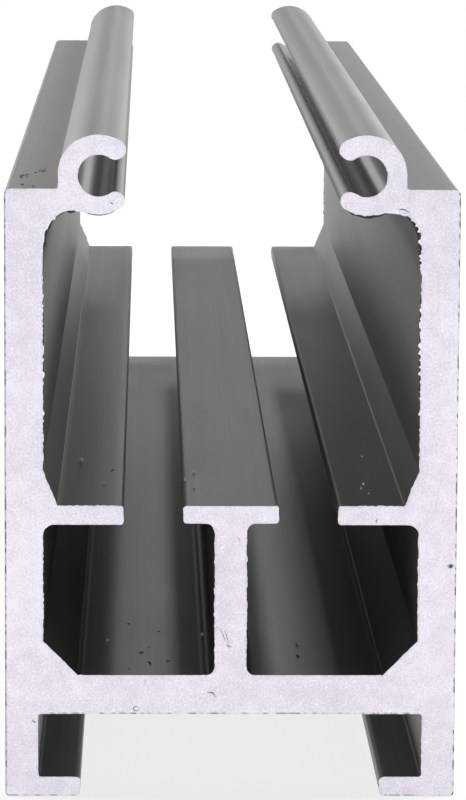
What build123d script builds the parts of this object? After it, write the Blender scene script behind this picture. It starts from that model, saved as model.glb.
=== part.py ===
"""Short sawn length of an aluminium rail extrusion.

The rail is one solid, pressed through a die and sawn square at both ends. Its section
stands in XZ, runs along Y and is the same on both sides of the YZ plane:

- two side walls that end below in feet, whose lips turn inwards and carry the rail
- a floor between the walls, with a T-shaped post standing in its middle
- two ledges that reach from the walls towards the post, so that a slot stays open on
  each side of it, with a closed-sided chamber under each slot
- a deep channel above the ledges, tapered in at its foot
- two shoulders on top of the walls, each with a C-shaped claw that holds a round bead
  and opens towards its twin across the throat of the rail

The origin is the middle of the rail's length and width, on the plane the feet rest on.
Sizes are in millimetres. The sketches draw the right half of the section, and the last
of them is mirrored before it is extruded.
"""

import os
from math import cos, radians, sin

from build123d import *

# Overall
length = 260.0
width = 50.0
side_wall = 4.2

# Feet, below the floor
foot_wall = 3.65
foot_space = 7.15
foot_lip_reach = 4.65
foot_lip_thickness = 2.2
foot_corner_radius = 0.4
foot_lip_radius = 0.5
foot_root_radius = 0.3

# Floor and the two chambers on it
floor_thickness = 4.4
chamber_height = 16.95
chamber_chamfer = 3.85
chamber_wall_radius = 1.2
chamber_post_radius = 1.0

# Ledges over the chambers
ledge_thickness = 2.1
ledge_reach = 8.9
ledge_tip_radius = 0.3

# Post in the middle of the floor
post_thickness = 3.45
post_head_width = 10.5
post_head_thickness = 1.95
post_tip_radius = 0.35

# Channel above the ledges
channel_height = 32.75
channel_taper_width = 1.6
channel_taper_height = 3.9
channel_top_radius = 3.5

# Shoulders
shoulder_thickness = 2.35
shoulder_radius = 0.7

# Claws on the shoulders, whose ring is thicker over the bore than under it
claw_inset = 10.35
claw_rise = 1.45
claw_bore_radius = 2.3
claw_upper_wall = 2.25
claw_lower_wall = 1.95
claw_mouth_angle = 77.0
claw_tip_flat = 0.1
claw_root_radius = 0.3

# Levels above the resting plane
floor_bottom = foot_lip_thickness + foot_space
floor_top = floor_bottom + floor_thickness
ledge_bottom = floor_top + chamber_height
ledge_top = ledge_bottom + ledge_thickness
post_head_bottom = ledge_top - post_head_thickness
channel_top = ledge_top + channel_height
shoulder_top = channel_top + shoulder_thickness
bore_level = shoulder_top + claw_rise

# Distances from the middle plane
half_width = width / 2
channel_side = half_width - side_wall
foot_side = half_width - foot_wall
foot_lip_tip = foot_side - foot_lip_reach
ledge_tip = channel_side - ledge_reach
post_side = post_thickness / 2
post_tip = post_head_width / 2
claw_centre = half_width - claw_inset

# Ring of the claw, raised over its bore by half the difference of its walls
ring_radius = claw_bore_radius + (claw_upper_wall + claw_lower_wall) / 2
ring_level = bore_level + (claw_upper_wall - claw_lower_wall) / 2
ring_side = claw_centre + ring_radius


def corners(sketch, *places):
    """The corner points of a sketch that lie at the given places."""
    return [sketch.vertices().sort_by_distance(place)[0] for place in places]


# Hollow of the channel: flared out of the ledge and rounded into the shoulder
with BuildSketch() as channel_hollow:
    with BuildLine():
        Polyline(
            (0, ledge_top),
            (channel_side - channel_taper_width, ledge_top),
            (channel_side, ledge_top + channel_taper_height),
            (channel_side, channel_top),
            (0, channel_top),
            close=True,
        )
    make_face()
    fillet(corners(channel_hollow, (channel_side, channel_top)), channel_top_radius)

# Hollow of the chamber and its slot, with a wide chamfer where the floor meets the wall
with BuildSketch() as chamber_hollow:
    with BuildLine():
        Polyline(
            (post_side, floor_top),
            (channel_side - chamber_chamfer, floor_top),
            (channel_side, floor_top + chamber_chamfer),
            (channel_side, ledge_bottom),
            (ledge_tip, ledge_bottom),
            (ledge_tip, ledge_top),
            (post_tip, ledge_top),
            (post_tip, post_head_bottom),
            (post_side, post_head_bottom),
            close=True,
        )
    make_face()
    fillet(corners(chamber_hollow, (channel_side, ledge_bottom)), chamber_wall_radius)
    fillet(
        corners(chamber_hollow, (post_side, post_head_bottom), (post_side, floor_top)),
        chamber_post_radius,
    )

# Hollow between the feet
with BuildSketch() as foot_hollow:
    with BuildLine():
        Polyline(
            (0, 0),
            (foot_lip_tip, 0),
            (foot_lip_tip, foot_lip_thickness),
            (foot_side, foot_lip_thickness),
            (foot_side, floor_bottom),
            (0, floor_bottom),
            close=True,
        )
    make_face()
    fillet(
        corners(foot_hollow, (foot_side, foot_lip_thickness), (foot_side, floor_bottom)),
        foot_root_radius,
    )

# Claw: a ring with a mouth towards the middle plane, and an arm rounded off on each side
mouth_reach = 2 * ring_radius
mouth_side = claw_centre - mouth_reach * cos(radians(claw_mouth_angle / 2))
mouth_rise = mouth_reach * sin(radians(claw_mouth_angle / 2))
with BuildSketch() as claw:
    with Locations((claw_centre, ring_level)):
        Circle(ring_radius)
    with Locations((claw_centre, bore_level)):
        Circle(claw_bore_radius, mode=Mode.SUBTRACT)
    with BuildLine():
        Polyline(
            (claw_centre, bore_level),
            (mouth_side, bore_level + mouth_rise),
            (mouth_side, bore_level - mouth_rise),
            close=True,
        )
    make_face(mode=Mode.SUBTRACT)
    for arm_end in claw.edges().filter_by(GeomType.LINE):
        fillet(corners(claw, arm_end @ 0, arm_end @ 1), (arm_end.length - claw_tip_flat) / 2)

with BuildPart() as extrusion_profile:
    with BuildSketch(Plane.XZ) as section:
        # Envelope up to the shoulder
        Rectangle(half_width, shoulder_top, align=(Align.MIN, Align.MIN))
        fillet(corners(section, (half_width, shoulder_top)), shoulder_radius)
        fillet(corners(section, (half_width, 0)), foot_corner_radius)
        # Throat of the rail, open as far as the claw's centre
        with Locations((0, channel_top)):
            Rectangle(
                claw_centre, shoulder_thickness, align=(Align.MIN, Align.MIN), mode=Mode.SUBTRACT
            )
        # Upright outer side of the claw
        with Locations((claw_centre, shoulder_top)):
            Rectangle(ring_radius, ring_level - shoulder_top, align=(Align.MIN, Align.MIN))
        fillet(corners(section, (ring_side, shoulder_top)), claw_root_radius)
        # Hollows
        add(channel_hollow.sketch, mode=Mode.SUBTRACT)
        add(chamber_hollow.sketch, mode=Mode.SUBTRACT)
        add(foot_hollow.sketch, mode=Mode.SUBTRACT)
        with Locations((claw_centre, bore_level)):
            Circle(claw_bore_radius, mode=Mode.SUBTRACT)
        # Claw
        add(claw.sketch)
        # Edges of the ledge, the post's head and the foot's lip
        fillet(
            corners(section, (ledge_tip, ledge_bottom), (ledge_tip, ledge_top)),
            ledge_tip_radius,
        )
        fillet(
            corners(section, (post_tip, post_head_bottom), (post_tip, ledge_top)),
            post_tip_radius,
        )
        fillet(
            corners(section, (foot_lip_tip, 0), (foot_lip_tip, foot_lip_thickness)),
            foot_lip_radius,
        )
        mirror(about=Plane.YZ)
    extrude(amount=length / 2, both=True)

extrusion_profile.part.label = "extrusion_profile"

os.makedirs("parts", exist_ok=True)
export_step(extrusion_profile.part, "parts/extrusion_profile.step")
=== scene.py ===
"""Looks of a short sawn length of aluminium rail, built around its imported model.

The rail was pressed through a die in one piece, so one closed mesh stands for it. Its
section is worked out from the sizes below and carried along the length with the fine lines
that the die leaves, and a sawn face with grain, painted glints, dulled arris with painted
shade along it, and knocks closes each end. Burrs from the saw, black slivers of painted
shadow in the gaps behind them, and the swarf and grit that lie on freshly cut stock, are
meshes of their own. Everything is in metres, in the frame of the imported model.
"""

import math

import bmesh
import bpy
import numpy as np
from bpy.props import FloatProperty, FloatVectorProperty, IntProperty, PointerProperty
from mathutils import Matrix, Vector
from mathutils.geometry import delaunay_2d_cdt


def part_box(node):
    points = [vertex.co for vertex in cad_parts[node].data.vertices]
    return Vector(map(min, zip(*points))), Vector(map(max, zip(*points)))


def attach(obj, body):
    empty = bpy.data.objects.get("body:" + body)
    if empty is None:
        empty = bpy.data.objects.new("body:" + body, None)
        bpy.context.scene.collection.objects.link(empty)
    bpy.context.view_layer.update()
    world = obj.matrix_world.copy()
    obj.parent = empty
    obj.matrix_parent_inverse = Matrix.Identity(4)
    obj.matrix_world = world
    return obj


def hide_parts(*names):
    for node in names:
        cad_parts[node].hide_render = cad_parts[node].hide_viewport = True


bl_info = {
    "name": "Sawn Aluminium Rail",
    "version": (1, 0, 0),
    "blender": (4, 5, 0),
    "location": "View3D > Sidebar > Rail",
    "description": "Builds a sawn length of mill-finish aluminium rail and its studio",
    "category": "Object",
}

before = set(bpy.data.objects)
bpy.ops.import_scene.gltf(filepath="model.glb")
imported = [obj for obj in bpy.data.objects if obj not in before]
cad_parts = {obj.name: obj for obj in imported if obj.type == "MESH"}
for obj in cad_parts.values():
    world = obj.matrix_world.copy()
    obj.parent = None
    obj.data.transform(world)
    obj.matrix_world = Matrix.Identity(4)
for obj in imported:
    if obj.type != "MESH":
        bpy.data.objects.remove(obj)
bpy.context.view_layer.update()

NODE = "extrusion_profile"
BODY = "root"
LOW, HIGH = (np.array(corner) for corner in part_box(NODE))
MM = 0.001


def linear(hex_colour):
    """Linear red, green and blue of an sRGB hex colour.

    A channel c is c / 12.92 up to 0.04045 and ((c + 0.055) / 1.055) ** 2.4 above it.
    """
    channels = np.array([int(hex_colour[i : i + 2], 16) for i in (1, 3, 5)]) / 255
    curved = ((channels + 0.055) / 1.055) ** 2.4
    return tuple(np.where(channels <= 0.04045, channels / 12.92, curved))


def size(name, millimetres, description):
    """A length that a user can change, given in millimetres and kept in metres."""
    return FloatProperty(
        name=name, description=description, default=millimetres * MM, unit="LENGTH", precision=5
    )


def colour(name, hex_colour, description):
    """A colour that a user can change, given as sRGB hex and kept linear."""
    return FloatVectorProperty(
        name=name,
        description=description,
        default=linear(hex_colour),
        subtype="COLOR",
        size=3,
        min=0.0,
        max=1.0,
    )


def wattage(name, watts, description):
    """A lamp's power that a user can change, in watts."""
    return FloatProperty(name=name, description=description, default=watts, unit="POWER")


class RailSection(bpy.types.PropertyGroup):
    """Sizes of the rail's section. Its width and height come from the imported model."""

    side_wall: size("Side wall", 4.2, "Thickness of the walls beside the channel")
    foot_wall: size("Foot wall", 3.65, "Thickness of the walls below the floor")
    foot_space: size("Foot space", 7.15, "Height of the space above the lips")
    foot_lip_reach: size("Lip reach", 4.65, "How far a lip turns in")
    foot_lip_thickness: size("Lip thickness", 2.2, "Thickness of the lips")
    foot_corner_radius: size("Foot corner", 0.4, "Rounding of the outer lower edges")
    foot_lip_radius: size("Lip rounding", 0.5, "Rounding of the lips' tips")
    foot_root_radius: size("Foot root", 0.3, "Rounding in the corners of the foot space")
    floor_thickness: size("Floor", 4.4, "Thickness of the floor")
    chamber_height: size("Chamber height", 16.95, "Height of the chambers on the floor")
    chamber_chamfer: size("Chamber chamfer", 3.85, "Chamfer between floor and wall")
    chamber_wall_radius: size("Chamber corner", 1.2, "Rounding under the ledges")
    chamber_post_radius: size("Post root", 1.0, "Rounding at both ends of the stem")
    ledge_thickness: size("Ledge thickness", 2.1, "Thickness of the ledges")
    ledge_reach: size("Ledge reach", 8.9, "How far a ledge reaches in")
    ledge_tip_radius: size("Ledge rounding", 0.3, "Rounding of the ledges' tips")
    post_thickness: size("Post stem", 3.45, "Thickness of the post's stem")
    post_head_width: size("Post head", 10.5, "Width of the post's head")
    post_head_thickness: size("Head thickness", 1.95, "Thickness of the post's head")
    post_tip_radius: size("Head rounding", 0.35, "Rounding of the head's edges")
    channel_height: size("Channel height", 32.75, "Height of the channel over the ledges")
    channel_taper_width: size("Taper width", 1.6, "How far the channel narrows at its foot")
    channel_taper_height: size("Taper height", 3.9, "Height of the narrowing")
    channel_top_radius: size("Channel corner", 3.5, "Rounding under the shoulders")
    shoulder_thickness: size("Shoulder", 2.35, "Thickness of the shoulders")
    shoulder_radius: size("Shoulder rounding", 0.7, "Rounding of the outer upper edges")
    claw_inset: size("Claw inset", 10.35, "From the outer side to the claw's bore")
    claw_rise: size("Claw rise", 1.45, "From the shoulder up to the middle of the bore")
    claw_bore_radius: size("Bore radius", 2.3, "Radius of the claws' bores")
    claw_upper_wall: size("Upper arm", 2.25, "Thickness of the claw over its bore")
    claw_lower_wall: size("Lower arm", 1.95, "Thickness of the claw under its bore")
    claw_tip_flat: size("Arm flat", 0.1, "Flat left on the rounded ends of the arms")
    claw_root_radius: size("Claw root", 0.3, "Rounding between shoulder and claw")
    claw_mouth: FloatProperty(
        name="Claw mouth",
        description="Angle that the mouth opens by, seen from the middle of the bore",
        default=math.radians(77.0),
        subtype="ANGLE",
    )
    die_corner_radius: size("Die corner", 0.22, "Rounding that a die leaves in sharp corners")


class SawnEnds(bpy.types.PropertyGroup):
    """How the saw left the ends."""

    edge_step: size("Edge step", 0.24, "Distance between points of the outline")
    grain: size("Grain", 0.27, "Distance between points of the sawn faces")
    grain_depth: size("Grain depth", 0.012, "Depth of the grain on the sawn faces")
    saw_depth: size("Saw arcs", 0.006, "Depth of the arcs that the saw leaves")
    saw_feed: size("Saw feed", 1.1, "Distance between the saw's arcs")
    saw_side: size("Saw side", 150.0, "Middle of the saw's arcs, along X")
    saw_level: size("Saw level", -60.0, "Middle of the saw's arcs, along Z")
    arris: size("Arris", 0.09, "Width of the dulled edge round a sawn face")
    # Width of the band of painted shade inside each sawn edge
    fringe: size("Fringe", 0.24, "Width of the darker fringe inside the edge")
    burr: size("Burr", 0.1, "How far ragged metal stands over the inner edges")
    die_line_depth: size("Die lines", 0.005, "Depth of the lines along the rail")
    seed: IntProperty(name="Seed", description="Seed of everything random", default=11, min=0)


class RailFinish(bpy.types.PropertyGroup):
    """Colours of the metal and of the dirt on it, and of the painted glint and painted shade."""

    skin: colour("Skin", "#A4A5A2", "Mill finish along the length")
    skin_streak: colour("Skin streak", "#979894", "Darker die lines in the mill finish")
    sawn: colour("Sawn metal", "#E9E5EE", "Bright metal of the sawn ends")
    sawn_shade: colour("Sawn shade", "#D5D0DC", "Duller grains of the sawn ends")
    # Painted glint: the colour that single grains of the sawn ends take in place of their highlights
    painted_glint: colour("Glint", "#FFFEFF", "Single grains that glint in the sawn ends")
    # Painted shade of the sawn edges' fringes and of the black slivers behind the burrs; also the darkening
    # of the knocks and the dark clots of the grit
    grime: colour("Grime", "#1D1B20", "Cutting residue in pits, cracks and fringes")
    grit: colour("Grit", "#6C6C69", "Dust and crushed fines that lie on the skin")


class Studio(bpy.types.PropertyGroup):
    """Floor and light around the rail."""

    floor: colour("Floor", "#F2F2F2", "Pale board that the rail stands on")
    sky: FloatProperty(name="Sky", description="Level of the light from all round", default=0.04)
    key: wattage("Key", 0.4, "Lamp overhead")
    front: wattage("Front", 1.75, "Lamp in front")
    back: wattage("Back", 0.55, "Lamp behind")
    left: wattage("Left", 9.0, "Lamp behind at the left")
    right: wattage("Right", 13.0, "Lamp behind at the right")
    left_side: wattage("Left side", 10.5, "Lamp at the left")
    right_side: wattage("Right side", 14.5, "Lamp at the right")


# Outline of the section


def arc(centre, radius, start, end, step):
    """Points of centre + radius * (cos a, sin a), with a running from start to end."""
    sweep = abs(end - start)
    count = max(math.ceil(sweep / math.radians(15)), math.ceil(sweep * radius / step), 2)
    angle = np.linspace(start, end, count + 1)
    return np.stack((centre[0] + radius * np.cos(angle), centre[1] + radius * np.sin(angle)), 1)


def full_turn(steps):
    """Angles of so many equal steps once round."""
    return np.linspace(0, math.tau, steps + 1)[:-1]


def bearing(place, centre):
    """Angle at which a place is seen from the centre."""
    return math.atan2(place[1] - centre[1], place[0] - centre[0])


def short_arc(centre, first, last, step):
    """The shorter arc about the centre from one place to another."""
    start = bearing(first, centre)
    turn = (bearing(last, centre) - start + math.pi) % math.tau - math.pi
    return arc(centre, math.dist(first, centre), start, start + turn, step)


def rounded(corners, step):
    """Path through corners (x, z, radius), where each inner corner is rounded by an arc.

    With unit vectors u and v from the corner to its neighbours and h half the angle between
    them, the arc of radius r touches the sides at r / tan h from the corner, and its centre
    lies at r / sin h from the corner along u + v.
    """
    places = np.array([corner[:2] for corner in corners])
    path = [places[:1]]
    for before, place, after, radius in zip(
        places, places[1:], places[2:], [corner[2] for corner in corners[1:]]
    ):
        u = (before - place) / math.dist(before, place)
        v = (after - place) / math.dist(after, place)
        half = math.acos(np.clip(u @ v, -1, 1)) / 2
        middle = (u + v) / np.linalg.norm(u + v)
        reach = radius / math.tan(half)
        centre = place + middle * radius / math.sin(half)
        path.append(short_arc(centre, place + u * reach, place + v * reach, step))
    path.append(places[-1:])
    return np.concatenate(path)


def arm_end(bore, bore_radius, ring, ring_radius, angle, flat, step):
    """Round end of a claw's arm, from the ring's circle to the bore's.

    The arm is cut along the ray bore + t * d. Each corner of the cut is rounded by a circle
    of radius r = (cut - flat) / 2 that touches the ray, so its centre lies r beside the ray,
    and bore_radius + r from the bore's centre or ring_radius - r from the ring's.
    """
    ahead = np.array((math.cos(angle), math.sin(angle)))
    beside = np.array((math.sin(angle), -math.cos(angle))) * math.copysign(1, angle)

    def reach(shift, radius):
        """How far along the ray, moved aside by shift, a place is radius from the ring's centre."""
        base = bore - ring + shift * beside
        return math.sqrt((ahead @ base) ** 2 - base @ base + radius**2) - ahead @ base

    r = (reach(0, ring_radius) - bore_radius - flat) / 2
    outer = bore + reach(r, ring_radius - r) * ahead + r * beside
    inner = bore + math.sqrt(bore_radius**2 + 2 * bore_radius * r) * ahead + r * beside
    on_ring = ring + (outer - ring) * ring_radius / (ring_radius - r)
    on_bore = bore + (inner - bore) * bore_radius / (bore_radius + r)
    return np.concatenate(
        (
            short_arc(outer, on_ring, outer - r * beside, step),
            short_arc(inner, inner - r * beside, on_bore, step),
        )
    )


def section_outline(s, step):
    """Outline of the section as points (x, z), anticlockwise, with only its arcs divided.

    The right half runs from the middle of the floor's underside round the foot, up the outer
    side, round the claw and down through channel and chamber to the middle of the post. The
    left half is its mirror image.
    """
    half = HIGH[0]
    floor_bottom = s.foot_lip_thickness + s.foot_space
    floor_top = floor_bottom + s.floor_thickness
    ledge_bottom = floor_top + s.chamber_height
    ledge_top = ledge_bottom + s.ledge_thickness
    head_bottom = ledge_top - s.post_head_thickness
    channel_top = ledge_top + s.channel_height
    shoulder_top = channel_top + s.shoulder_thickness
    foot_side = half - s.foot_wall
    lip_tip = foot_side - s.foot_lip_reach
    channel_side = half - s.side_wall
    ledge_tip = channel_side - s.ledge_reach
    post_side = s.post_thickness / 2
    post_tip = s.post_head_width / 2
    ring_radius = s.claw_bore_radius + (s.claw_upper_wall + s.claw_lower_wall) / 2
    bore = np.array((half - s.claw_inset, shoulder_top + s.claw_rise))
    ring = bore + np.array((0, (s.claw_upper_wall - s.claw_lower_wall) / 2))
    ring_side = ring[0] + ring_radius

    below = rounded(
        (
            (0, floor_bottom, 0),
            (foot_side, floor_bottom, s.foot_root_radius),
            (foot_side, s.foot_lip_thickness, s.foot_root_radius),
            (lip_tip, s.foot_lip_thickness, s.foot_lip_radius),
            (lip_tip, 0, s.foot_lip_radius),
            (half, 0, s.foot_corner_radius),
            (half, shoulder_top, s.shoulder_radius),
            (ring_side, shoulder_top, s.claw_root_radius),
            (ring_side, ring[1], 0),
        ),
        step,
    )
    mouth = math.pi - s.claw_mouth / 2
    claw = (bore, s.claw_bore_radius, ring, ring_radius)
    upper = arm_end(*claw, mouth, s.claw_tip_flat, step)
    lower = arm_end(*claw, -mouth, s.claw_tip_flat, step)[::-1]
    root_angle = math.asin((channel_top - ring[1]) / ring_radius)
    root = ring[0] + ring_radius * math.cos(root_angle)
    inside = rounded(
        (
            (root, channel_top, 0),
            (channel_side, channel_top, s.channel_top_radius),
            (channel_side, ledge_top + s.channel_taper_height, s.die_corner_radius),
            (channel_side - s.channel_taper_width, ledge_top, s.die_corner_radius),
            (ledge_tip, ledge_top, s.ledge_tip_radius),
            (ledge_tip, ledge_bottom, s.ledge_tip_radius),
            (channel_side, ledge_bottom, s.chamber_wall_radius),
            (channel_side, floor_top + s.chamber_chamfer, s.die_corner_radius),
            (channel_side - s.chamber_chamfer, floor_top, s.die_corner_radius),
            (post_side, floor_top, s.chamber_post_radius),
            (post_side, head_bottom, s.chamber_post_radius),
            (post_tip, head_bottom, s.post_tip_radius),
            (post_tip, ledge_top, s.post_tip_radius),
            (0, ledge_top, 0),
        ),
        step,
    )
    right = np.concatenate(
        (
            below,
            arc(ring, ring_radius, 0, bearing(upper[0], ring), step),
            upper,
            arc(bore, s.claw_bore_radius, bearing(upper[-1], bore), bearing(lower[0], bore), step),
            lower,
            arc(ring, ring_radius, bearing(lower[-1], ring), root_angle, step),
            inside,
        )
    )
    whole = np.concatenate((right[:-1], right[:0:-1] * (-1, 1)))
    apart = np.hypot(*(whole - np.roll(whole, 1, 0)).T) > step / 100
    return whole[apart]


def divided(path, step):
    """The closed path with each side cut into equal parts no longer than the step."""
    sides = np.roll(path, -1, 0) - path
    parts = np.ceil(np.hypot(*sides.T) / step).astype(int)
    place = np.arange(parts.sum()) - np.repeat(np.cumsum(parts) - parts, parts)
    share = place / np.repeat(parts, parts)
    return np.repeat(path, parts, 0) + share[:, None] * np.repeat(sides, parts, 0)


def outwards(path):
    """Unit vectors that point out of the closed anticlockwise path, from its neighbours."""
    ahead = np.roll(path, -1, 0) - np.roll(path, 1, 0)
    ahead /= np.hypot(*ahead.T)[:, None]
    return np.stack((ahead[:, 1], -ahead[:, 0]), 1)


def run_length(path):
    """Distance of each point of a path from its start, along the path."""
    sides = np.hypot(*np.diff(path, axis=0).T)
    return np.concatenate(((0,), np.cumsum(sides)))


def ragged(places, pitch, random):
    """Random heights from 0 to 1 along a line, drawn every pitch and joined straight."""
    knots = np.arange(places[0], places[-1] + 2 * pitch, pitch)
    knots = knots + random.uniform(-0.4, 0.4, len(knots)) * pitch
    return np.interp(places, knots, random.random(len(knots)))


# Places whose distances are worked out at once, few enough to spare memory
BLOCK = 4000


def clearance(places, outline):
    """Distance of each place inside the outline to its nearest side, and 0 outside.

    The nearest point of a side a + t * d has t = (p - a) . d / d . d, held from 0 to 1. A
    place is inside where a line from it along +x crosses an odd number of sides.
    """
    start = outline
    side = np.roll(outline, -1, 0) - start
    rise = np.where(side[:, 1] == 0, 1, side[:, 1])
    found = [np.empty(0)]
    for first in range(0, len(places), BLOCK):
        away = places[first : first + BLOCK, None] - start
        t = np.clip((away * side).sum(2) / (side * side).sum(1), 0, 1)
        distance = np.hypot(*(away - t[..., None] * side).transpose(2, 0, 1)).min(1)
        crossed = (away[..., 1] < 0) != (away[..., 1] < side[:, 1])
        right_of = away[..., 0] < away[..., 1] * side[:, 0] / rise
        found.append(np.where((crossed & right_of).sum(1) % 2 == 1, distance, 0))
    return np.concatenate(found)


# Meshes


# Edges that bend by more than this are drawn sharp
SHARP_EDGE = math.radians(30.0)


def make_piece(name, points, faces, stuffs, kinds=None):
    """Object of points and faces. Each face has the first of its materials, or that of its kind."""
    mesh = bpy.data.meshes.new(name)
    mesh.from_pydata(points.tolist(), [], faces)
    for stuff in stuffs:
        mesh.materials.append(stuff)
    if kinds is not None:
        mesh.polygons.foreach_set("material_index", kinds)
    mesh.polygons.foreach_set("use_smooth", np.ones(len(mesh.polygons), bool))
    mesh.set_sharp_from_angle(angle=SHARP_EDGE)
    mesh.update()
    piece = bpy.data.objects.new(name, mesh)
    bpy.context.scene.collection.objects.link(piece)
    return piece


def attribute(piece, name, values):
    """Gives every point of a piece a number that its material can read."""
    made = piece.data.attributes.new(name, "FLOAT", "POINT")
    made.data.foreach_set("value", values.astype(np.float32))


def grid_faces(rows, columns):
    """Four-sided faces over a grid of points kept row after row, closed across the columns."""
    row, column = np.mgrid[: rows - 1, :columns]
    first = row * columns + column
    second = row * columns + (column + 1) % columns
    return np.stack((first, second, second + columns, first + columns), -1).reshape(-1, 4)


def fill(points, rim):
    """Triangles over points (x, z), whose first ones are the closed rim.

    This is the Delaunay triangulation that keeps the rim's sides and drops what lies outside.
    """
    order = np.arange(rim)
    sides = np.stack((order, np.roll(order, -1)), 1)
    corners, _, triangles, origins, _, _ = delaunay_2d_cdt(
        (points / MM).tolist(), sides.tolist(), [order.tolist()], 1, 1e-7
    )
    if len(corners) != len(points):
        raise ValueError("two points of a sawn face coincide, or its rim crosses itself")
    return np.array(origins)[:, 0][np.array(triangles)]


# The rail


def loop(centre, width, height):
    """Points of centre + (width * cos a, height * sin a), once round."""
    a = full_turn(24)
    return np.stack((centre[0] + width * np.cos(a), centre[1] + height * np.sin(a)), 1)


# Knocks of the front end: path on the sawn face, half width and depth in millimetres, and how
# much darker their colour is
FRONT_MARKS = {
    "pit in the right wall": (((24.1, 26.05), (24.62, 26.2)), 0.27, 0.14, 1.0),
    "left scratch on the stem": (((-1.1, 19.0), (-0.8, 18.2), (-0.42, 17.5)), 0.05, 0.04, 0.5),
    "right scratch on the stem": (((-0.7, 18.9), (-0.36, 18.0), (-0.05, 17.1)), 0.05, 0.04, 0.55),
    "dent under the scratches": (((-0.4, 17.2), (0.02, 16.95)), 0.12, 0.05, 0.6),
    "ring on the floor": (loop((-10.46, 9.95), 0.3, 0.26), 0.06, 0.05, 0.6),
    "hook on the floor": (((-2.5, 11.85), (-1.92, 11.78), (-1.62, 11.2)), 0.08, 0.05, 0.6),
    "scratch on the floor": (((-9.5, 13.4), (-9.45, 12.7)), 0.06, 0.03, 0.4),
    "nick in the foot": (((-21.9, 8.6), (-21.6, 8.3)), 0.12, 0.06, 0.6),
    "nick in the ledge": (((16.15, 31.4), (16.0, 30.95)), 0.09, 0.06, 0.6),
    "dot on the stem": (((0.78, 29.25), (0.96, 29.05)), 0.09, 0.04, 0.5),
    "dot beside the stem": (((-1.55, 19.2), (-1.45, 19.1)), 0.12, 0.05, 0.6),
    "dot on the claw": (((-13.3, 66.4), (-13.15, 66.3)), 0.09, 0.05, 0.6),
    "fold at the claw": (((18.1, 65.8), (18.8, 65.72), (19.3, 65.45)), 0.08, 0.06, 0.7),
}

# Scores of the die, each of which leaves a line standing along the rail: place (x, z) and
# height in millimetres
DIE_SCORES = (
    ((-12.45, 32.8), 0.03),
    ((-12.95, 32.8), 0.04),
    ((-13.45, 32.8), 0.02),
    ((-19.0, 33.0), 0.05),
    ((-16.7, 13.75), 0.06),
    ((-2.9, 13.75), 0.06),
    ((16.7, 13.75), 0.05),
    ((3.1, 32.8), 0.02),
    ((-20.8, 52.6), 0.03),
    ((20.8, 55.1), 0.03),
)

# Depths below a sawn face at which the skin has points, and the step between those along it
NEAR_STATIONS = np.array((0.0, 0.05, 0.12, 0.35, 1.2, 5.0)) * MM
STATION_STEP = 18 * MM

# Shares and pitches of the random lines that make up the die lines and the ragged edges
DIE_LINES = ((0.6, 0.5 * MM), (0.4, 2.2 * MM))
EDGE_LINES = ((0.65, 0.32 * MM), (0.35, 2.5 * MM))

# Edges up to the first distance inside the rail's box are dulled, and from the second on burred
EDGE_ROOM = (0.25 * MM, 0.75 * MM)
# Height of a burr on a level edge, and what an upright one has more, as the saw drags across it
LEVEL_BURR = 0.3
UPRIGHT_BURR = 1.7

# Points of the outline this near to a side of the rail's box count as lying on it
ON_BOX = 0.2 * MM
# Darkness of the painted shade in the fringe on the outer sides and under the feet and floor,
# and elsewhere
EDGE_SHADE = (1.0, 0.6)
FAINT_SHADE = 0.12
# Share of that darkness between the ticks, on the left side and elsewhere
LEFT_CALM = 0.4
OTHER_CALM = 0.1
# Ticks stand where gain * r - limit is over 0, with r random at every pitch
TICK_PITCH = 0.3 * MM
TICK_GAIN = 3.2
TICK_LIMIT = 1.5

# Share of the bore's radius within which the skin counts as the bore's
BORE_REACH = 1.05


def nearest(outline, place):
    """Number of the outline's point that is nearest to a place (x, z) in millimetres."""
    return np.hypot(*(outline - np.array(place) * MM).T).argmin()


def sampled(rows, run, places):
    """Values at places along a line, from the rows of values at its points and its run there."""
    return np.stack([np.interp(places, run, column) for column in rows.T], 1)


def uneven(run, lines, random):
    """Random heights from 0 to 1 along a line: several ragged lines, each times its share."""
    return sum(share * ragged(run, pitch, random) for share, pitch in lines)


def columns(places, *values):
    """Places (x, z) with one more column for each value."""
    return np.column_stack((places, *(np.broadcast_to(value, len(places)) for value in values)))


def thinned(places, cell):
    """Only one place in each cell of a fine lattice."""
    _, kept = np.unique(np.round(places[:, :2] / cell), axis=0, return_index=True)
    return places[np.sort(kept)]


def groove(path, width, depth, grime, step):
    """Points (x, z, depth, edge shade, darkening) of a groove along a path, with no edge shade.

    Across the groove c runs from -1 to 1, and depth and darkening are full * (1 - c * c). Along
    it t runs from 0 to 1, and all shrink by sin(pi * t) ** 0.5 towards both ends.
    """
    path = np.array(path) * MM
    run = run_length(path)
    even = np.linspace(0, run[-1], max(math.ceil(run[-1] / step), 4) + 1)[1:-1]
    line = sampled(path, run, even)
    ahead = np.gradient(line, axis=0)
    across = np.stack((ahead[:, 1], -ahead[:, 0]), 1) / np.hypot(*ahead.T)[:, None]
    taper = np.sin(np.pi * even / run[-1])[:, None] ** 0.5
    c = np.linspace(-1, 1, 5)
    places = line[:, None] + across[:, None] * (taper * c * width * MM)[..., None]
    shape = (taper * (1 - c * c)).ravel()
    return columns(places.reshape(-1, 2), shape * depth * MM, 0, shape * grime)


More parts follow.
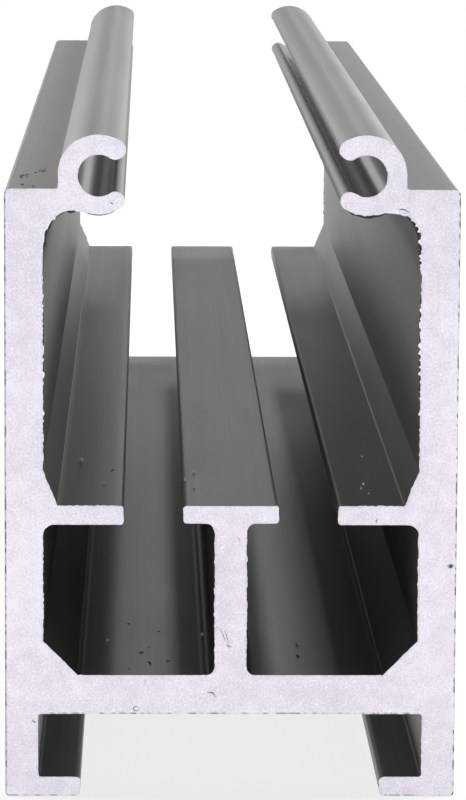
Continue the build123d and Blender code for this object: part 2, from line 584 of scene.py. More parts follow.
def face_points(outline, coarse, fringe, ends, marks, random):
    """Points (x, z, depth, edge shade, darkening) inside a sawn face.

    Two rows follow the outline, one at the arris and one at the end of the painted shade
    fringe. Grooves are cut for the marks, and a jittered hexagonal grid fills the rest. Its depth
    is random grain plus the saw's arcs, depth * (1 + cos(turn * distance from the saw's centre)) / 2.
    """
    inwards = -outwards(outline)
    arris = thinned(columns(outline + inwards * ends.arris, 0, fringe, 0), ends.arris / 2)
    calm = thinned(columns(outline + inwards * ends.fringe, ends.grain_depth / 2, 0, 0), ends.arris / 2)
    cut = [groove(*mark, ends.grain / 2) for mark in marks.values()]
    cut = np.concatenate((np.empty((0, 5)), *cut))
    cut = cut[clearance(cut[:, :2], coarse) > ends.arris]

    x, z = np.meshgrid(
        np.arange(LOW[0], HIGH[0], ends.grain),
        np.arange(LOW[2], HIGH[2], ends.grain * math.sqrt(0.75)),
    )
    x = x + ends.grain / 2 * (np.arange(len(z)) % 2)[:, None]
    grid = np.stack((x.ravel(), z.ravel()), 1)
    grid = grid + random.uniform(-0.25, 0.25, grid.shape) * ends.grain
    grid = grid[clearance(grid, coarse) > ends.fringe + ends.grain / 3]
    if len(cut):
        apart = np.hypot(*(grid[:, None] - cut[:, :2]).transpose(2, 0, 1)).min(1)
        grid = grid[apart > ends.grain / 2]
    from_saw = np.hypot(grid[:, 0] - ends.saw_side, grid[:, 1] - ends.saw_level)
    arcs = (1 + np.cos(math.tau * from_saw / ends.saw_feed)) / 2
    depth = ends.grain_depth * random.random(len(grid)) + ends.saw_depth * arcs
    return np.concatenate((arris, calm, cut, columns(grid, depth, 0, 0)))


def edge_stand(outline, ends, random):
    """How far the cut edge stands out of each point of the outline: burrs on inner edges,
    and a dulled arris, which stands below 0, on the sides that the rail's box touches.

    A burr is burr * (level + upright * |n|) * r ** 3, with n the sideways part of the
    outward direction and r random along the edge.
    """
    x, z = outline.T
    room = np.stack((HIGH[0] - np.abs(x), z, HIGH[2] - z)).min(0)
    inner = np.interp(room, EDGE_ROOM, (0, 1))
    sideways = np.abs(outwards(outline)[:, 0])
    rough = uneven(run_length(outline), EDGE_LINES, random) ** 3
    burr = ends.burr * (LEVEL_BURR + UPRIGHT_BURR * sideways) * rough
    return inner * burr - (1 - inner) * ends.arris / 2


def painted_edge_shade(outline, ends, random):
    """How dark the painted shade of the fringe is at each point of the outline: ticks on the
    outer sides, weaker ones under the feet and the floor, and faint ones elsewhere."""
    x, z = outline.T
    side = np.abs(x) > HIGH[0] - ON_BOX
    sole = z < ON_BOX
    # The floor's underside lies between the feet, in the lowest fifth of the height
    floor = (np.abs(x) < 0.8 * HIGH[0]) & (z < 0.2 * HIGH[2])
    under = (sole | floor) & (outwards(outline)[:, 1] < -0.9)
    strength = np.select((side, under), EDGE_SHADE, FAINT_SHADE)
    calm = np.where(side & (x < 0), LEFT_CALM, OTHER_CALM)
    ticks = TICK_GAIN * ragged(run_length(outline), TICK_PITCH, random) - TICK_LIMIT
    return strength * (calm + (1 - calm) * ticks.clip(0, 1))


def bored(outline, section):
    """Whether each point of the outline lies in a claw's bore."""
    level = HIGH[2] - section.claw_upper_wall - section.claw_bore_radius
    aside = np.abs(outline[:, 0]) - (HIGH[0] - section.claw_inset)
    return np.hypot(aside, outline[:, 1] - level) < BORE_REACH * section.claw_bore_radius


def press_rail(section, ends, finish):
    """The rail as one closed mesh: the section's outline carried along Y, both ends sawn.

    A point of the skin is outline(s) + outward(s) * (score(s) - die line(s) + stand(s) *
    exp(-depth / arris)), where s runs round the section and depth is the distance to a
    sawn end.
    """
    random = np.random.default_rng(ends.seed)
    coarse = section_outline(section, ends.edge_step)
    outline = divided(coarse, ends.edge_step)
    out = outwards(outline)
    rim = len(outline)
    middle = np.arange(LOW[1] + STATION_STEP, HIGH[1] - STATION_STEP / 2, STATION_STEP)
    stations = np.concatenate((LOW[1] + NEAR_STATIONS, middle, HIGH[1] - NEAR_STATIONS[::-1]))
    die_lines = uneven(run_length(outline), DIE_LINES, random)
    shift = np.tile(-ends.die_line_depth * die_lines, (len(stations), 1))
    for place, height in DIE_SCORES:
        shift[:, nearest(outline, place)] += height * MM
    planes = (LOW[1], HIGH[1])
    for plane in planes:
        near = np.exp(-np.abs(stations - plane) / ends.arris)
        shift += near[:, None] * edge_stand(outline, ends, random)
    skin = np.empty((len(stations), rim, 3))
    skin[..., 0] = outline[:, 0] + out[:, 0] * shift
    skin[..., 1] = stations[:, None]
    skin[..., 2] = outline[:, 1] + out[:, 1] * shift

    points = [skin.reshape(-1, 3)]
    looks = np.zeros((len(stations), rim, 2))
    faces = [grid_faces(len(stations), rim)[:, ::-1].tolist()]
    inner_looks = []
    for end, marks in enumerate((FRONT_MARKS, {})):
        # Painted shade in a fringe along the edges of each sawn face
        fringe = painted_edge_shade(outline, ends, random)
        looks[-end, :, 0] = fringe
        inner = face_points(outline, coarse, fringe, ends, marks, random)
        inner_looks.append(inner[:, 3:])
        triangles = fill(np.concatenate((skin[-end][:, ::2], inner[:, :2])), rim)
        on_rim = end * (len(stations) - 1) * rim
        inside = sum(map(len, points)) - rim
        triangles = triangles + np.where(triangles < rim, on_rim, inside)
        turn = 1 - 2 * end
        faces.append(triangles[:, ::turn].tolist())
        points.append(np.stack((inner[:, 0], planes[end] + turn * inner[:, 2], inner[:, 1]), 1))
    kinds = np.repeat((0, 1, 1), [len(part) for part in faces])
    rail = make_piece(
        "pressed_rail",
        np.clip(np.concatenate(points), LOW, HIGH),
        sum(faces, []),
        (material("mill_finish_aluminium", finish), material("sawn_aluminium", finish)),
        kinds,
    )
    looks = np.concatenate((looks.reshape(-1, 2), *inner_looks))
    # Painted shade of the fringes, and the darkening of the knocks, read by the sawn material
    attribute(rail, "fringe", looks[:, 0])
    attribute(rail, "grime", looks[:, 1])
    in_bore = np.tile(bored(outline, section), len(stations))
    attribute(rail, "bored", np.pad(in_bore, (0, len(looks) - len(in_bore))))
    return rail


# Burrs and swarf


# Slivers on the front end: from and to (x, z), reach and pitch in millimetres, how much of the
# reach is ragged, and the power that makes its peaks sharp
BRIGHT_BURRS = {
    "torn corner of the channel": ((-18.9, 65.0), (-20.8, 60.4), 0.42, 0.4, 0.8, 2),
    "curl under the left claw": ((-15.6, 65.3), (-17.2, 65.5), 0.2, 0.9, 0.3, 1),
    "curl under the right claw": ((15.4, 65.4), (19.2, 65.2), 0.36, 0.5, 0.35, 2),
    "teeth under the right claw": ((12.6, 65.6), (16.0, 65.4), 0.2, 0.28, 1.0, 2),
    "spikes down the right corner": ((19.3, 64.8), (20.8, 58.5), 0.5, 0.24, 1.0, 2),
    "teeth on the left wall": ((-20.8, 60.0), (-20.8, 37.2), 0.26, 0.22, 1.0, 2),
    "teeth on the right wall": ((20.8, 58.0), (20.8, 37.0), 0.38, 0.24, 1.0, 2.5),
    "teeth in the left chamber": ((-20.8, 29.0), (-20.8, 17.9), 0.16, 0.22, 1.0, 1.5),
    "teeth in the right chamber": ((20.8, 29.0), (20.8, 17.9), 0.16, 0.22, 1.0, 1.5),
    "teeth on the left of the stem": ((-1.7, 29.6), (-1.7, 15.0), 0.18, 0.22, 1.0, 1.5),
    "teeth on the right of the stem": ((1.7, 29.6), (1.7, 15.0), 0.18, 0.22, 1.0, 1.5),
    "teeth on the left ledge": ((-19.0, 32.8), (-12.4, 32.8), 0.12, 0.25, 1.0, 2),
    "teeth on the right ledge": ((12.4, 32.8), (19.0, 32.8), 0.12, 0.25, 1.0, 2),
}
# Black slivers of painted shadow in the gaps behind the burrs, with the same columns
SHADOW_SLIVERS = {
    "gap in the channel's corner": ((-19.5, 64.3), (-20.8, 60.9), 0.6, 0.5, 0.5, 1),
    "line in the channel's corner": ((-18.2, 65.5), (-19.8, 63.8), 0.22, 0.5, 0.7, 1),
    "shade in the notch": ((-16.9, 65.5), (-18.3, 65.5), 0.36, 0.5, 0.7, 1),
    "line under the left claw": ((-12.9, 65.6), (-17.0, 65.5), 0.19, 1.0, 0.4, 1),
    "line under the right claw": ((12.6, 65.4), (19.2, 65.2), 0.46, 0.5, 0.4, 1),
    "line down the right corner": ((19.2, 65.0), (20.8, 59.0), 0.55, 0.6, 0.4, 1),
    "line down the right wall": ((20.8, 60.0), (20.8, 37.5), 0.26, 0.5, 0.5, 1),
    "line down the left wall": ((-20.8, 60.5), (-20.8, 38.0), 0.2, 0.4, 0.8, 1),
}

# Small pieces on the skin: place (x, y, z), length and heading in degrees
SWARF = (
    ((-3.9, -108.3, 32.8), 0.4, 20),
    ((-4.0, -119.4, 32.8), 0.35, 70),
    ((-5.0, -113.9, 32.8), 0.5, 80),
    ((15.3, -116.5, 32.8), 0.4, 10),
    ((14.9, -119.2, 32.8), 0.35, 40),
    ((15.6, -122.5, 32.8), 0.3, 0),
    ((16.1, -96.6, 32.8), 0.35, 60),
    ((-14.2, -116.8, 32.8), 0.4, 75),
    ((-17.0, -100.6, 32.8), 0.6, 5),
    ((-13.8, -111.9, 13.75), 0.4, 0),
    ((-2.9, -108.4, 13.75), 0.4, 15),
    ((8.0, -114.0, 13.75), 0.5, 50),
)
# Smudges of grit on the skin: place (x, y, z), spread along Y and how many crumbs
GRIT = (
    ((-13.4, -106.3, 32.8), 0.6, 2),
    ((-21.6, -109.0, 67.9), 1.4, 5),
    ((-21.2, -107.6, 67.9), 1.0, 3),
    ((-23.5, -114.6, 67.9), 1.6, 6),
    ((-22.9, -116.2, 67.9), 1.2, 4),
    ((-21.7, -127.4, 67.9), 0.7, 3),
    ((-23.2, -126.0, 67.9), 0.8, 3),
    ((-11.3, -126.2, 13.75), 0.5, 2),
    ((-8.9, -114.7, 13.75), 0.5, 1),
    ((-9.9, -117.8, 13.75), 0.4, 2),
    ((-8.9, -123.3, 13.75), 0.5, 2),
    ((-6.9, -122.4, 13.75), 0.4, 2),
    ((-11.2, -101.0, 13.75), 0.6, 1),
    ((-8.0, -105.5, 13.75), 0.6, 1),
    ((8.1, -119.6, 13.75), 0.6, 2),
    ((17.6, -108.4, 67.9), 0.8, 3),
)


# How deep the roots of a sliver sit in the metal, and the step between its rows
SLIVER_ROOT = 0.25 * MM
SLIVER_STEP = 0.07 * MM
# How far behind the face a row's root, front, back and back root lie
SLIVER_BACK = np.array((0.02, 0.04, 0.07, 0.12)) * MM
# Power of the sine by which a sliver shrinks at both ends
SLIVER_TAPER = 0.4
# How much further behind the face the painted shadow slivers lie than the bright metal, in millimetres
SHADOW_SLIVER_DEPTH = 0.15

# Crumbs of grit: spread along X and shortest and longest length in millimetres, and headings
GRIT_SPREAD = 0.18
GRIT_LENGTHS = (0.35, 1.0)
GRIT_HEADINGS = (65, 115)
# Width and height of the crumbs as shares of their length, and the range of their wrinkles
SWARF_SHAPE = (0.7, 1.0)
GRIT_SHAPE = (0.3, 0.1)
WRINKLES = (0.75, 1.2)
# Latitudes of a crumb's rows in degrees
CRUMB_ROWS = np.linspace(-75, 75, 6)


def sliver(outline, start, end, reach, pitch, rough, power, depth, random):
    """Points of a sliver along the stretch of the outline between two places, row by row.

    Each row has its root in the metal, front and back edge of the tip, and back root. The
    tip stands reach * (1 - rough + rough * r ** power) * sin(pi * t) ** taper out of the
    outline, with r random along it and t from 0 to 1 between its ends.
    """
    first, last = sorted((nearest(outline, start), nearest(outline, end)))
    line = np.column_stack((outline, outwards(outline)))[first : last + 1]
    run = run_length(line[:, :2])
    even = np.linspace(0, run[-1], math.ceil(run[-1] / SLIVER_STEP) + 1)
    line = sampled(line, run, even)
    height = 1 - rough + rough * ragged(even, pitch * MM, random) ** power
    height = reach * MM * height * np.sin(np.pi * even / run[-1]).clip(0, 1) ** SLIVER_TAPER
    root = np.full_like(height, -SLIVER_ROOT)
    across = np.stack((root, height, height, root), 1)
    rows = np.empty((*across.shape, 3))
    rows[..., 0] = line[:, 0, None] + line[:, 2, None] * across
    rows[..., 1] = LOW[1] + SLIVER_BACK + depth * MM
    rows[..., 2] = line[:, 1, None] + line[:, 3, None] * across
    return rows


def joined(grids):
    """Points and faces of several closed tubes, each given as a grid of rows and columns."""
    points = []
    faces = []
    for rows in grids:
        first = sum(map(len, points))
        count, around = rows.shape[:2]
        faces += (grid_faces(count, around) + first).tolist()
        faces.append((np.arange(around)[::-1] + first).tolist())
        faces.append((np.arange(around) + first + (count - 1) * around).tolist())
        points.append(rows.reshape(-1, 3))
    return np.concatenate(points), faces


def raise_burrs(name, burrs, section, ends, metal, depth):
    """Slivers along the edge of the front end, as one piece. With the bright material they are
    metal that the saw pulled over the edge; with the black one they are painted shadow in the gaps
    behind it.

    Their tips are marked as torn, which paints more glint on them in the sawn material, and
    their roots aren't.
    """
    random = np.random.default_rng(ends.seed + len(name))
    outline = divided(section_outline(section, ends.edge_step), ends.edge_step)
    points, faces = joined([sliver(outline, *burr, depth, random) for burr in burrs.values()])
    piece = make_piece(name, np.clip(points, LOW, HIGH), faces, (metal,))
    # The sawn material paints more glint where this is 1, on the tips
    attribute(piece, "torn", np.tile((0, 1, 1, 0), len(points) // 4))
    return outward(piece)


def scattered(smudges, random):
    """Crumbs (place, length, heading) of smudges, each a loose cluster drawn out along Y."""
    crumbs = []
    for place, spread, count in smudges:
        away = random.normal(0, 1, (count, 2)) * (GRIT_SPREAD, spread)
        for x, y in away.clip(-2 * spread, 2 * spread):
            length = random.uniform(*GRIT_LENGTHS)
            heading = random.uniform(*GRIT_HEADINGS)
            crumbs.append(((place[0] + x, place[1] + y, place[2]), length, heading))
    return crumbs


def drop_crumbs(name, crumbs, shape, stuff, random):
    """Crumbs of metal or dirt that lie on the skin, as one piece.

    A crumb is a flattened drop: its point at longitude a and latitude b is length / 2 *
    (cos a * cos b, width * sin a * cos b, height * (1 + sin b)), wrinkled by random shares.
    """
    width, height = shape
    a = full_turn(9)
    b = np.radians(CRUMB_ROWS)[:, None]
    drop = (np.cos(a) * np.cos(b), width * np.sin(a) * np.cos(b), height * (1 + np.sin(b)))
    drop = np.stack(np.broadcast_arrays(*drop), 2)
    grids = []
    for place, length, heading in crumbs:
        crumb = drop * random.uniform(*WRINKLES, (*drop.shape[:2], 1)) * length / 2
        spin = np.array(Matrix.Rotation(math.radians(heading), 3, "Z"))
        grids.append((crumb @ spin + place) * MM)
    points, faces = joined(grids)
    return outward(make_piece(name, points, faces, (stuff,)))


def outward(piece):
    """Turns the faces of a piece made of closed shells so that they point outwards."""
    shape = bmesh.new()
    shape.from_mesh(piece.data)
    bmesh.ops.recalc_face_normals(shape, faces=shape.faces)
    shape.to_mesh(piece.data)
    shape.free()
    return piece


# Materials


# How much less rough the skin is in the bores, and how much more painted glint the grains of torn metal get
BORE_POLISH = 0.2
TORN_PAINTED_GLINT = 0.14


def add_node(tree, kind, inputs=None, **settings):
    """Adds a node with its settings. Each input, by name or number, gets a value or a link."""
    node = tree.nodes.new(kind)
    for name, value in settings.items():
        setattr(node, name, value)
    for name, value in (inputs or {}).items():
        if isinstance(value, bpy.types.NodeSocket):
            tree.links.new(value, node.inputs[name])
        else:
            node.inputs[name].default_value = value
    return node


def patterns(tree, sizes, detail):
    """Noise patterns by name, each so wide across the rail and so long along it, in millimetres."""
    where = add_node(tree, "ShaderNodeTexCoord").outputs["Object"]
    made = {}
    for name, (wide, long) in sizes.items():
        scale = (1 / (wide * MM), 1 / (long * MM), 1 / (wide * MM))
        stretched = add_node(tree, "ShaderNodeMapping", {"Vector": where, "Scale": scale})
        noise = {"Vector": stretched.outputs[0], "Scale": 1.0, "Detail": detail, "Roughness": 0.6}
        made[name] = add_node(tree, "ShaderNodeTexNoise", noise).outputs["Fac"]
    return made


def mottled(tree, pattern, weights, dark, light):
    """Colour that goes from dark to light as the weighted sum of patterns goes from 0.4 to 0.6."""
    total = 0.0
    for name, weight in weights.items():
        term = {0: pattern[name], 1: weight, 2: total}
        total = add_node(tree, "ShaderNodeMath", term, operation="MULTIPLY_ADD").outputs[0]
    share = add_node(tree, "ShaderNodeMapRange", {"Value": total, "From Min": 0.4, "From Max": 0.6})
    blend = {0: share.outputs[0], 6: (*dark, 1), 7: (*light, 1)}
    return add_node(tree, "ShaderNodeMix", blend, data_type="RGBA").outputs[2]


def surfaced(tree, sockets, height, depth):
    """Ends a material with a shader of those sockets over relief of a depth in millimetres."""
    relief = {"Height": height, "Distance": depth * MM, "Strength": 1.0}
    bump = add_node(tree, "ShaderNodeBump", relief)
    shader = add_node(tree, "ShaderNodeBsdfPrincipled", {**sockets, "Normal": bump.outputs[0]})
    add_node(tree, "ShaderNodeOutputMaterial", {"Surface": shader.outputs[0]})


def matt_mottle(tree, clot, dust, dark, light, roughness):
    """Matt surface mottled in clots of a width in millimetres: dirt for the grit, painted shadow
    for the black slivers. Its colour goes from dark to light with their noise, through the range
    in dust."""
    where = add_node(tree, "ShaderNodeTexCoord").outputs["Object"]
    noise = add_node(tree, "ShaderNodeTexNoise", {"Vector": where, "Scale": 1 / (clot * MM)})
    share = add_node(tree, "ShaderNodeMapRange", {"Value": noise.outputs["Fac"], **dust})
    blend = {0: share.outputs[0], 6: (*dark, 1), 7: (*light, 1)}
    tone = add_node(tree, "ShaderNodeMix", blend, data_type="RGBA")
    sockets = {"Base Color": tone.outputs[2], "Roughness": roughness}
    shader = add_node(tree, "ShaderNodeBsdfPrincipled", sockets)
    add_node(tree, "ShaderNodeOutputMaterial", {"Surface": shader.outputs[0]})


def mill_finish(tree, finish):
    """Aluminium with the mill finish, as the die and the cooling table leave it: satin grey,
    drawn out in fine lines along the rail, a little blotched, with faint rubbed specks."""
    # Die lines are 0.1 mm wide or less on the rail, and drawn 0.35 mm wide to show
    sizes = {"fine": (0.35, 90.0), "broad": (2.4, 260.0), "grain": (0.3, 0.3), "blotch": (9.0, 24.0)}
    pattern = patterns(tree, sizes, 2.0)
    weights = {"fine": 0.2, "broad": 0.2, "grain": 0.4, "blotch": 0.2}
    dull = add_node(tree, "ShaderNodeMapRange", {"Value": pattern["blotch"], "To Min": 0.37, "To Max": 0.47})
    # The die's polished tongue leaves the bores smoother, so light and dark lie apart in them
    in_bore = add_node(tree, "ShaderNodeAttribute", attribute_name="bored")
    smoother = {0: in_bore.outputs["Fac"], 1: -BORE_POLISH, 2: dull.outputs[0]}
    rough = add_node(tree, "ShaderNodeMath", smoother, operation="MULTIPLY_ADD")
    sockets = {
        "Base Color": mottled(tree, pattern, weights, finish.skin_streak, finish.skin),
        "Metallic": 0.9,
        "Roughness": rough.outputs[0],
        "Specular Tint": (0.6, 0.6, 0.6, 1),
    }
    surfaced(tree, sockets, pattern["fine"], 0.004)


def sawn_metal(tree, finish):
    """Aluminium cut with a saw: bright, pale and open-grained, with glints of single grains
    painted into its colour, darker in its knocks, and with painted shade in a fringe along its edges."""
    # Grains are 0.05 mm on the rail, and drawn 0.16 mm wide and more to show
    widths = {"painted_glint": 0.16, "grain": 0.25, "patch": 1.8, "polish": 16.0}
    pattern = patterns(tree, {name: (wide, wide) for name, wide in widths.items()}, 1.5)
    weights = {"grain": 0.5, "patch": 0.25, "polish": 0.25}
    dull = mottled(tree, pattern, weights, finish.sawn_shade, finish.sawn)
    # Painted glint: grains whose noise passes the threshold take the glint colour, and more of them on torn
    # tips, which would catch more of the light
    torn = add_node(tree, "ShaderNodeAttribute", attribute_name="torn")
    lifted = {0: torn.outputs["Fac"], 1: TORN_PAINTED_GLINT, 2: pattern["painted_glint"]}
    painted_glint = add_node(tree, "ShaderNodeMath", lifted, operation="MULTIPLY_ADD")
    peaks = {"Value": painted_glint.outputs[0], "From Min": 0.67, "From Max": 0.73}
    bright = add_node(tree, "ShaderNodeMapRange", peaks)
    blend = {0: bright.outputs[0], 6: dull, 7: (*finish.painted_glint, 1)}
    tone = add_node(tree, "ShaderNodeMix", blend, data_type="RGBA")
    # Painted shade along the edges from the fringe, and the darkening of the knocks: the stronger of the two
    # turns the colour towards the dark colour
    fringe = add_node(tree, "ShaderNodeAttribute", attribute_name="fringe")
    grime = add_node(tree, "ShaderNodeAttribute", attribute_name="grime")
    worse = {0: fringe.outputs["Fac"], 1: grime.outputs["Fac"]}
    dirt_and_shade = add_node(tree, "ShaderNodeMath", worse, operation="MAXIMUM", use_clamp=True)
    darken = {0: dirt_and_shade.outputs[0], 6: tone.outputs[2], 7: (*finish.grime, 1)}
    darkened = add_node(tree, "ShaderNodeMix", darken, data_type="RGBA")
    sockets = {"Base Color": darkened.outputs[2], "Metallic": 1.0, "Roughness": 0.55}
    surfaced(tree, sockets, pattern["grain"], 0.02)


def shadow_gap_paint(tree, finish):
    """Painted shadow for the gaps behind the burrs: black and matt, mottled part way towards the
    paler streak colour of the skin.
    """
    # Blots of the mottle are 0.2 mm wide
    dust = {"From Min": 0.45, "From Max": 0.75, "To Max": 0.5}
    matt_mottle(tree, 0.2, dust, finish.grime, finish.skin_streak, 0.8)


def fine_grit(tree, finish):
    """Workshop dust and crushed fines caked together: matt and grey, with darker clots, so
    that it shows as soft specks on the metal."""
    matt_mottle(tree, 0.3, {}, finish.grime, finish.grit, 0.9)


def pale_board(tree, studio):
    """Painted board: plain, pale and matt. What the camera, mirrors and glass see of it is
    lifted towards white, all the way far from the rail and less near it, where its shadow
    stays to be seen."""
    paint = add_node(tree, "ShaderNodeBsdfDiffuse", {"Color": (*studio.floor, 1)})
    white = add_node(tree, "ShaderNodeEmission", {"Color": (1, 1, 1, 1), "Strength": 1.0})
    path = add_node(tree, "ShaderNodeLightPath")
    seen = path.outputs["Is Camera Ray"]
    for name in ("Is Glossy Ray", "Is Transmission Ray"):
        either = {0: seen, 1: path.outputs[name]}
        seen = add_node(tree, "ShaderNodeMath", either, operation="MAXIMUM").outputs[0]
    where = add_node(tree, "ShaderNodeTexCoord").outputs["Object"]
    away = add_node(tree, "ShaderNodeVectorMath", {0: where}, operation="LENGTH")
    near, far = SHADOW_REACH
    fade = {"Value": away.outputs["Value"], "From Min": near, "From Max": far, "To Min": SHADOW_LIFT}
    lift = add_node(tree, "ShaderNodeMapRange", fade)
    share = add_node(tree, "ShaderNodeMath", {0: seen, 1: lift.outputs[0]}, operation="MULTIPLY")
    blend = {0: share.outputs[0], 1: paint.outputs[0], 2: white.outputs[0]}
    mixed = add_node(tree, "ShaderNodeMixShader", blend)
    add_node(tree, "ShaderNodeOutputMaterial", {"Surface": mixed.outputs[0]})


MATERIALS = {
    "mill_finish_aluminium": mill_finish,
    "sawn_aluminium": sawn_metal,
    "dried_cutting_residue": shadow_gap_paint,
    "caked_metal_dust": fine_grit,
    "painted_board": pale_board,
}


def material(name, colours):
    """The material of that name, built from its colours where it isn't there yet."""
    if name not in bpy.data.materials:
        made = bpy.data.materials.new(name)
        made.use_nodes = True
        made.node_tree.nodes.clear()
        MATERIALS[name](made.node_tree, colours)
    return bpy.data.materials[name]


# Studio


# Board: radius of its flat part, then of its upturned edge, and the height of the rim
BOARD_RADIUS = 3.2
BOARD_BEND = 0.6
BOARD_RIM = 0.9
# Distances from the rail at which the board starts to be lifted more, and is quite white
SHADOW_REACH = (0.25, 1.0)
# Share of the way to white that the board is lifted by the rail's side
SHADOW_LIFT = 0.8

# Camera, as found from the photograph: place in metres, angles in degrees, lens in millimetres
CAMERA_PLACE = (-0.00928, -0.5905, 0.11273)
CAMERA_PITCH = 8.408
CAMERA_YAW = 1.172
CAMERA_ROLL = 0.290
CAMERA_LENS = 190.5

# Lamps: place, width, height and the point that each is turned to, in metres
LAMPS = {
    "key": ((0.1, 0.0, 0.9), 0.25, 0.25, (0.0, 0.0, 0.03)),
    "front": ((0.0, -1.2, 0.09), 0.3, 0.16, (0.0, -0.13, 0.04)),
    "back": ((0.04, 1.6, 0.75), 0.08, 0.3, (0.0, 0.0, 0.03)),
    "left": ((-0.9, 0.9, 1.12), 0.4, 0.55, (0.0, 0.0, 0.05)),
    "right": ((0.9, 0.9, 1.12), 0.4, 0.55, (0.0, 0.0, 0.05)),
    "left_side": ((-0.9, 0.1, 0.8), 0.4, 0.2, (0.0, 0.0, 0.05)),
    "right_side": ((0.9, 0.1, 0.8), 0.4, 0.2, (0.0, 0.0, 0.05)),
}


def lay_board(studio):
    """A round board with an upturned rim, as the profile (r, z) carried round Z.

    The profile runs from the middle to the flat part's radius, then along a quarter circle
    and straight up to the rim.
    """
    bend = np.linspace(-math.pi / 2, 0, 13)
    flat = BOARD_RADIUS * np.linspace(0, 1, 9)[1:-1]
    r = np.concatenate((flat, BOARD_RADIUS + BOARD_BEND * np.cos(bend), (BOARD_RADIUS + BOARD_BEND,)))
    z = np.concatenate((np.zeros(len(flat)), BOARD_BEND * (1 + np.sin(bend)), (BOARD_RIM,)))
    a = full_turn(64)
    rows = np.stack(np.broadcast_arrays(r[:, None] * np.cos(a), r[:, None] * np.sin(a), z[:, None]), 2)
    faces = grid_faces(*rows.shape[:2])[:, ::-1].tolist() + [list(range(len(a)))]
    paint = material("painted_board", studio)
    board = make_piece("floor", rows.reshape(-1, 3), faces, (paint,))


def hang_lamp(name, power, place, width, height, target):
    """A soft lamp of a given size at a place, turned to a target and hidden from the camera."""
    light = bpy.data.lights.new(name, "AREA")
    light.energy = power
    light.shape = "RECTANGLE"
    light.size = width
    light.size_y = height
    lamp = bpy.data.objects.new(name, light)
    lamp.visible_camera = False
    bpy.context.scene.collection.objects.link(lamp)
    ahead = Vector(target) - Vector(place)
    lamp.matrix_world = Matrix.Translation(place) @ ahead.to_track_quat("-Z", "Y").to_matrix().to_4x4()


def set_sky(studio):
    """Plain grey light from all round."""
    world = bpy.data.worlds.new("studio_sky")
    bpy.context.scene.world = world
    world.use_nodes = True
    tree = world.node_tree
    tree.nodes.clear()
    light = add_node(tree, "ShaderNodeBackground", {"Color": (1, 1, 1, 1), "Strength": studio.sky})
    add_node(tree, "ShaderNodeOutputWorld", {"Surface": light.outputs[0]})


def place_camera():
    """The photograph's camera: turned by yaw about Z, tipped by pitch, rolled about its axis."""
    camera = bpy.data.cameras.new("camera")
    camera.lens = CAMERA_LENS
    seen = bpy.data.objects.new("camera", camera)
    bpy.context.scene.collection.objects.link(seen)
    turned = (
        Matrix.Rotation(math.radians(-CAMERA_YAW), 4, "Z")
        @ Matrix.Rotation(math.radians(90 - CAMERA_PITCH), 4, "X")
        @ Matrix.Rotation(math.radians(CAMERA_ROLL), 4, "Z")
    )
    seen.matrix_world = Matrix.Translation(CAMERA_PLACE) @ turned
    bpy.context.scene.camera = seen


def belongs_to_rail(piece):
    """Lets a piece ride on the rail's body."""
    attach(piece, BODY)


# Operators and panel


class RAIL_OT_set_stage(bpy.types.Operator):
    """Lay the floor, hang the lamps and place the camera"""

    bl_idname = "rail.set_stage"
    bl_label = "Set Stage"

    def execute(self, context):
        studio = context.scene.rail_studio
        lay_board(studio)
        for name, lamp in LAMPS.items():
            hang_lamp(name + "_lamp", getattr(studio, name), *lamp)
        set_sky(studio)
        place_camera()
        context.scene.view_settings.view_transform = "Standard"
        return {"FINISHED"}


class RAIL_OT_press_rail(bpy.types.Operator):
    """Press the rail through its section and saw both ends"""

    bl_idname = "rail.press_rail"
    bl_label = "Press Rail"

    def execute(self, context):
        scene = context.scene
        rail = press_rail(scene.rail_section, scene.rail_ends, scene.rail_finish)
        belongs_to_rail(rail)
        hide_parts(NODE)
        return {"FINISHED"}


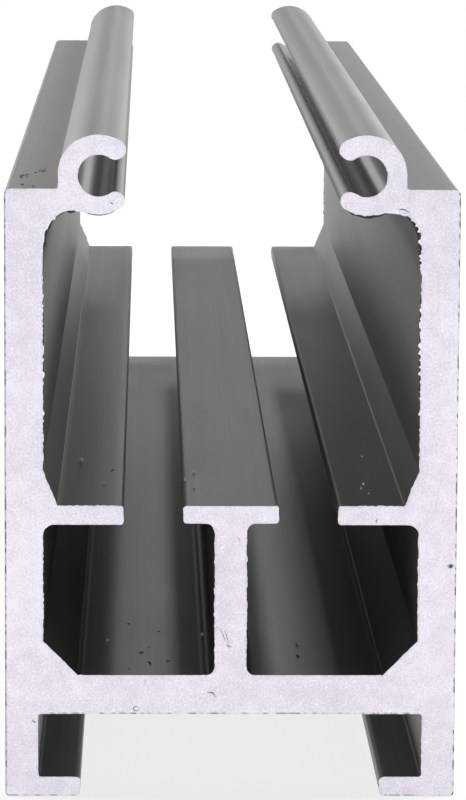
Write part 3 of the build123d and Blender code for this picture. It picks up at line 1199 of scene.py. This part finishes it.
class RAIL_OT_raise_burrs(bpy.types.Operator):
    """Raise the burrs that the saw left along the front end, and slivers of painted shadow behind them"""

    bl_idname = "rail.raise_burrs"
    bl_label = "Raise Burrs"

    def execute(self, context):
        scene = context.scene
        section = scene.rail_section
        ends = scene.rail_ends
        bright = material("sawn_aluminium", scene.rail_finish)
        # Black material of the painted shadow slivers behind the burrs
        shadow_paint = material("dried_cutting_residue", scene.rail_finish)
        belongs_to_rail(raise_burrs("saw_burrs", BRIGHT_BURRS, section, ends, bright, 0.0))
        belongs_to_rail(raise_burrs("burr_residue", SHADOW_SLIVERS, section, ends, shadow_paint, SHADOW_SLIVER_DEPTH))
        return {"FINISHED"}


class RAIL_OT_drop_swarf(bpy.types.Operator):
    """Drop crumbs of swarf and grit on the rail"""

    bl_idname = "rail.drop_swarf"
    bl_label = "Drop Swarf"

    def execute(self, context):
        scene = context.scene
        metal = material("sawn_aluminium", scene.rail_finish)
        dirt_and_shade = material("caked_metal_dust", scene.rail_finish)
        random = np.random.default_rng(scene.rail_ends.seed)
        belongs_to_rail(drop_crumbs("swarf_crumbs", SWARF, SWARF_SHAPE, metal, random))
        grit = scattered(GRIT, random)
        belongs_to_rail(drop_crumbs("grit_crumbs", grit, GRIT_SHAPE, dirt_and_shade, random))
        return {"FINISHED"}


class VIEW3D_PT_rail(bpy.types.Panel):
    """Sizes, finish and steps of the rail"""

    bl_idname = "VIEW3D_PT_rail"
    bl_label = "Rail"
    bl_space_type = "VIEW_3D"
    bl_region_type = "UI"
    bl_category = "Rail"

    def draw(self, context):
        for name in SETTINGS:
            group = getattr(context.scene, name)
            for setting in group.bl_rna.properties:
                if setting.identifier not in {"rna_type", "name"}:
                    self.layout.prop(group, setting.identifier)
        for step in STEPS:
            self.layout.operator(step.bl_idname)


SETTINGS = {
    "rail_section": RailSection,
    "rail_ends": SawnEnds,
    "rail_finish": RailFinish,
    "rail_studio": Studio,
}
STEPS = (RAIL_OT_set_stage, RAIL_OT_press_rail, RAIL_OT_raise_burrs, RAIL_OT_drop_swarf)


def register():
    for part in (*SETTINGS.values(), *STEPS, VIEW3D_PT_rail):
        bpy.utils.register_class(part)
    for name, group in SETTINGS.items():
        setattr(bpy.types.Scene, name, PointerProperty(type=group))


def unregister():
    for name in SETTINGS:
        delattr(bpy.types.Scene, name)
    for part in (VIEW3D_PT_rail, *STEPS[::-1], *SETTINGS.values()):
        bpy.utils.unregister_class(part)


def main():
    register()
    bpy.ops.rail.set_stage()
    bpy.ops.rail.press_rail()
    bpy.ops.rail.raise_burrs()
    bpy.ops.rail.drop_swarf()


if __name__ == "__main__":
    main()
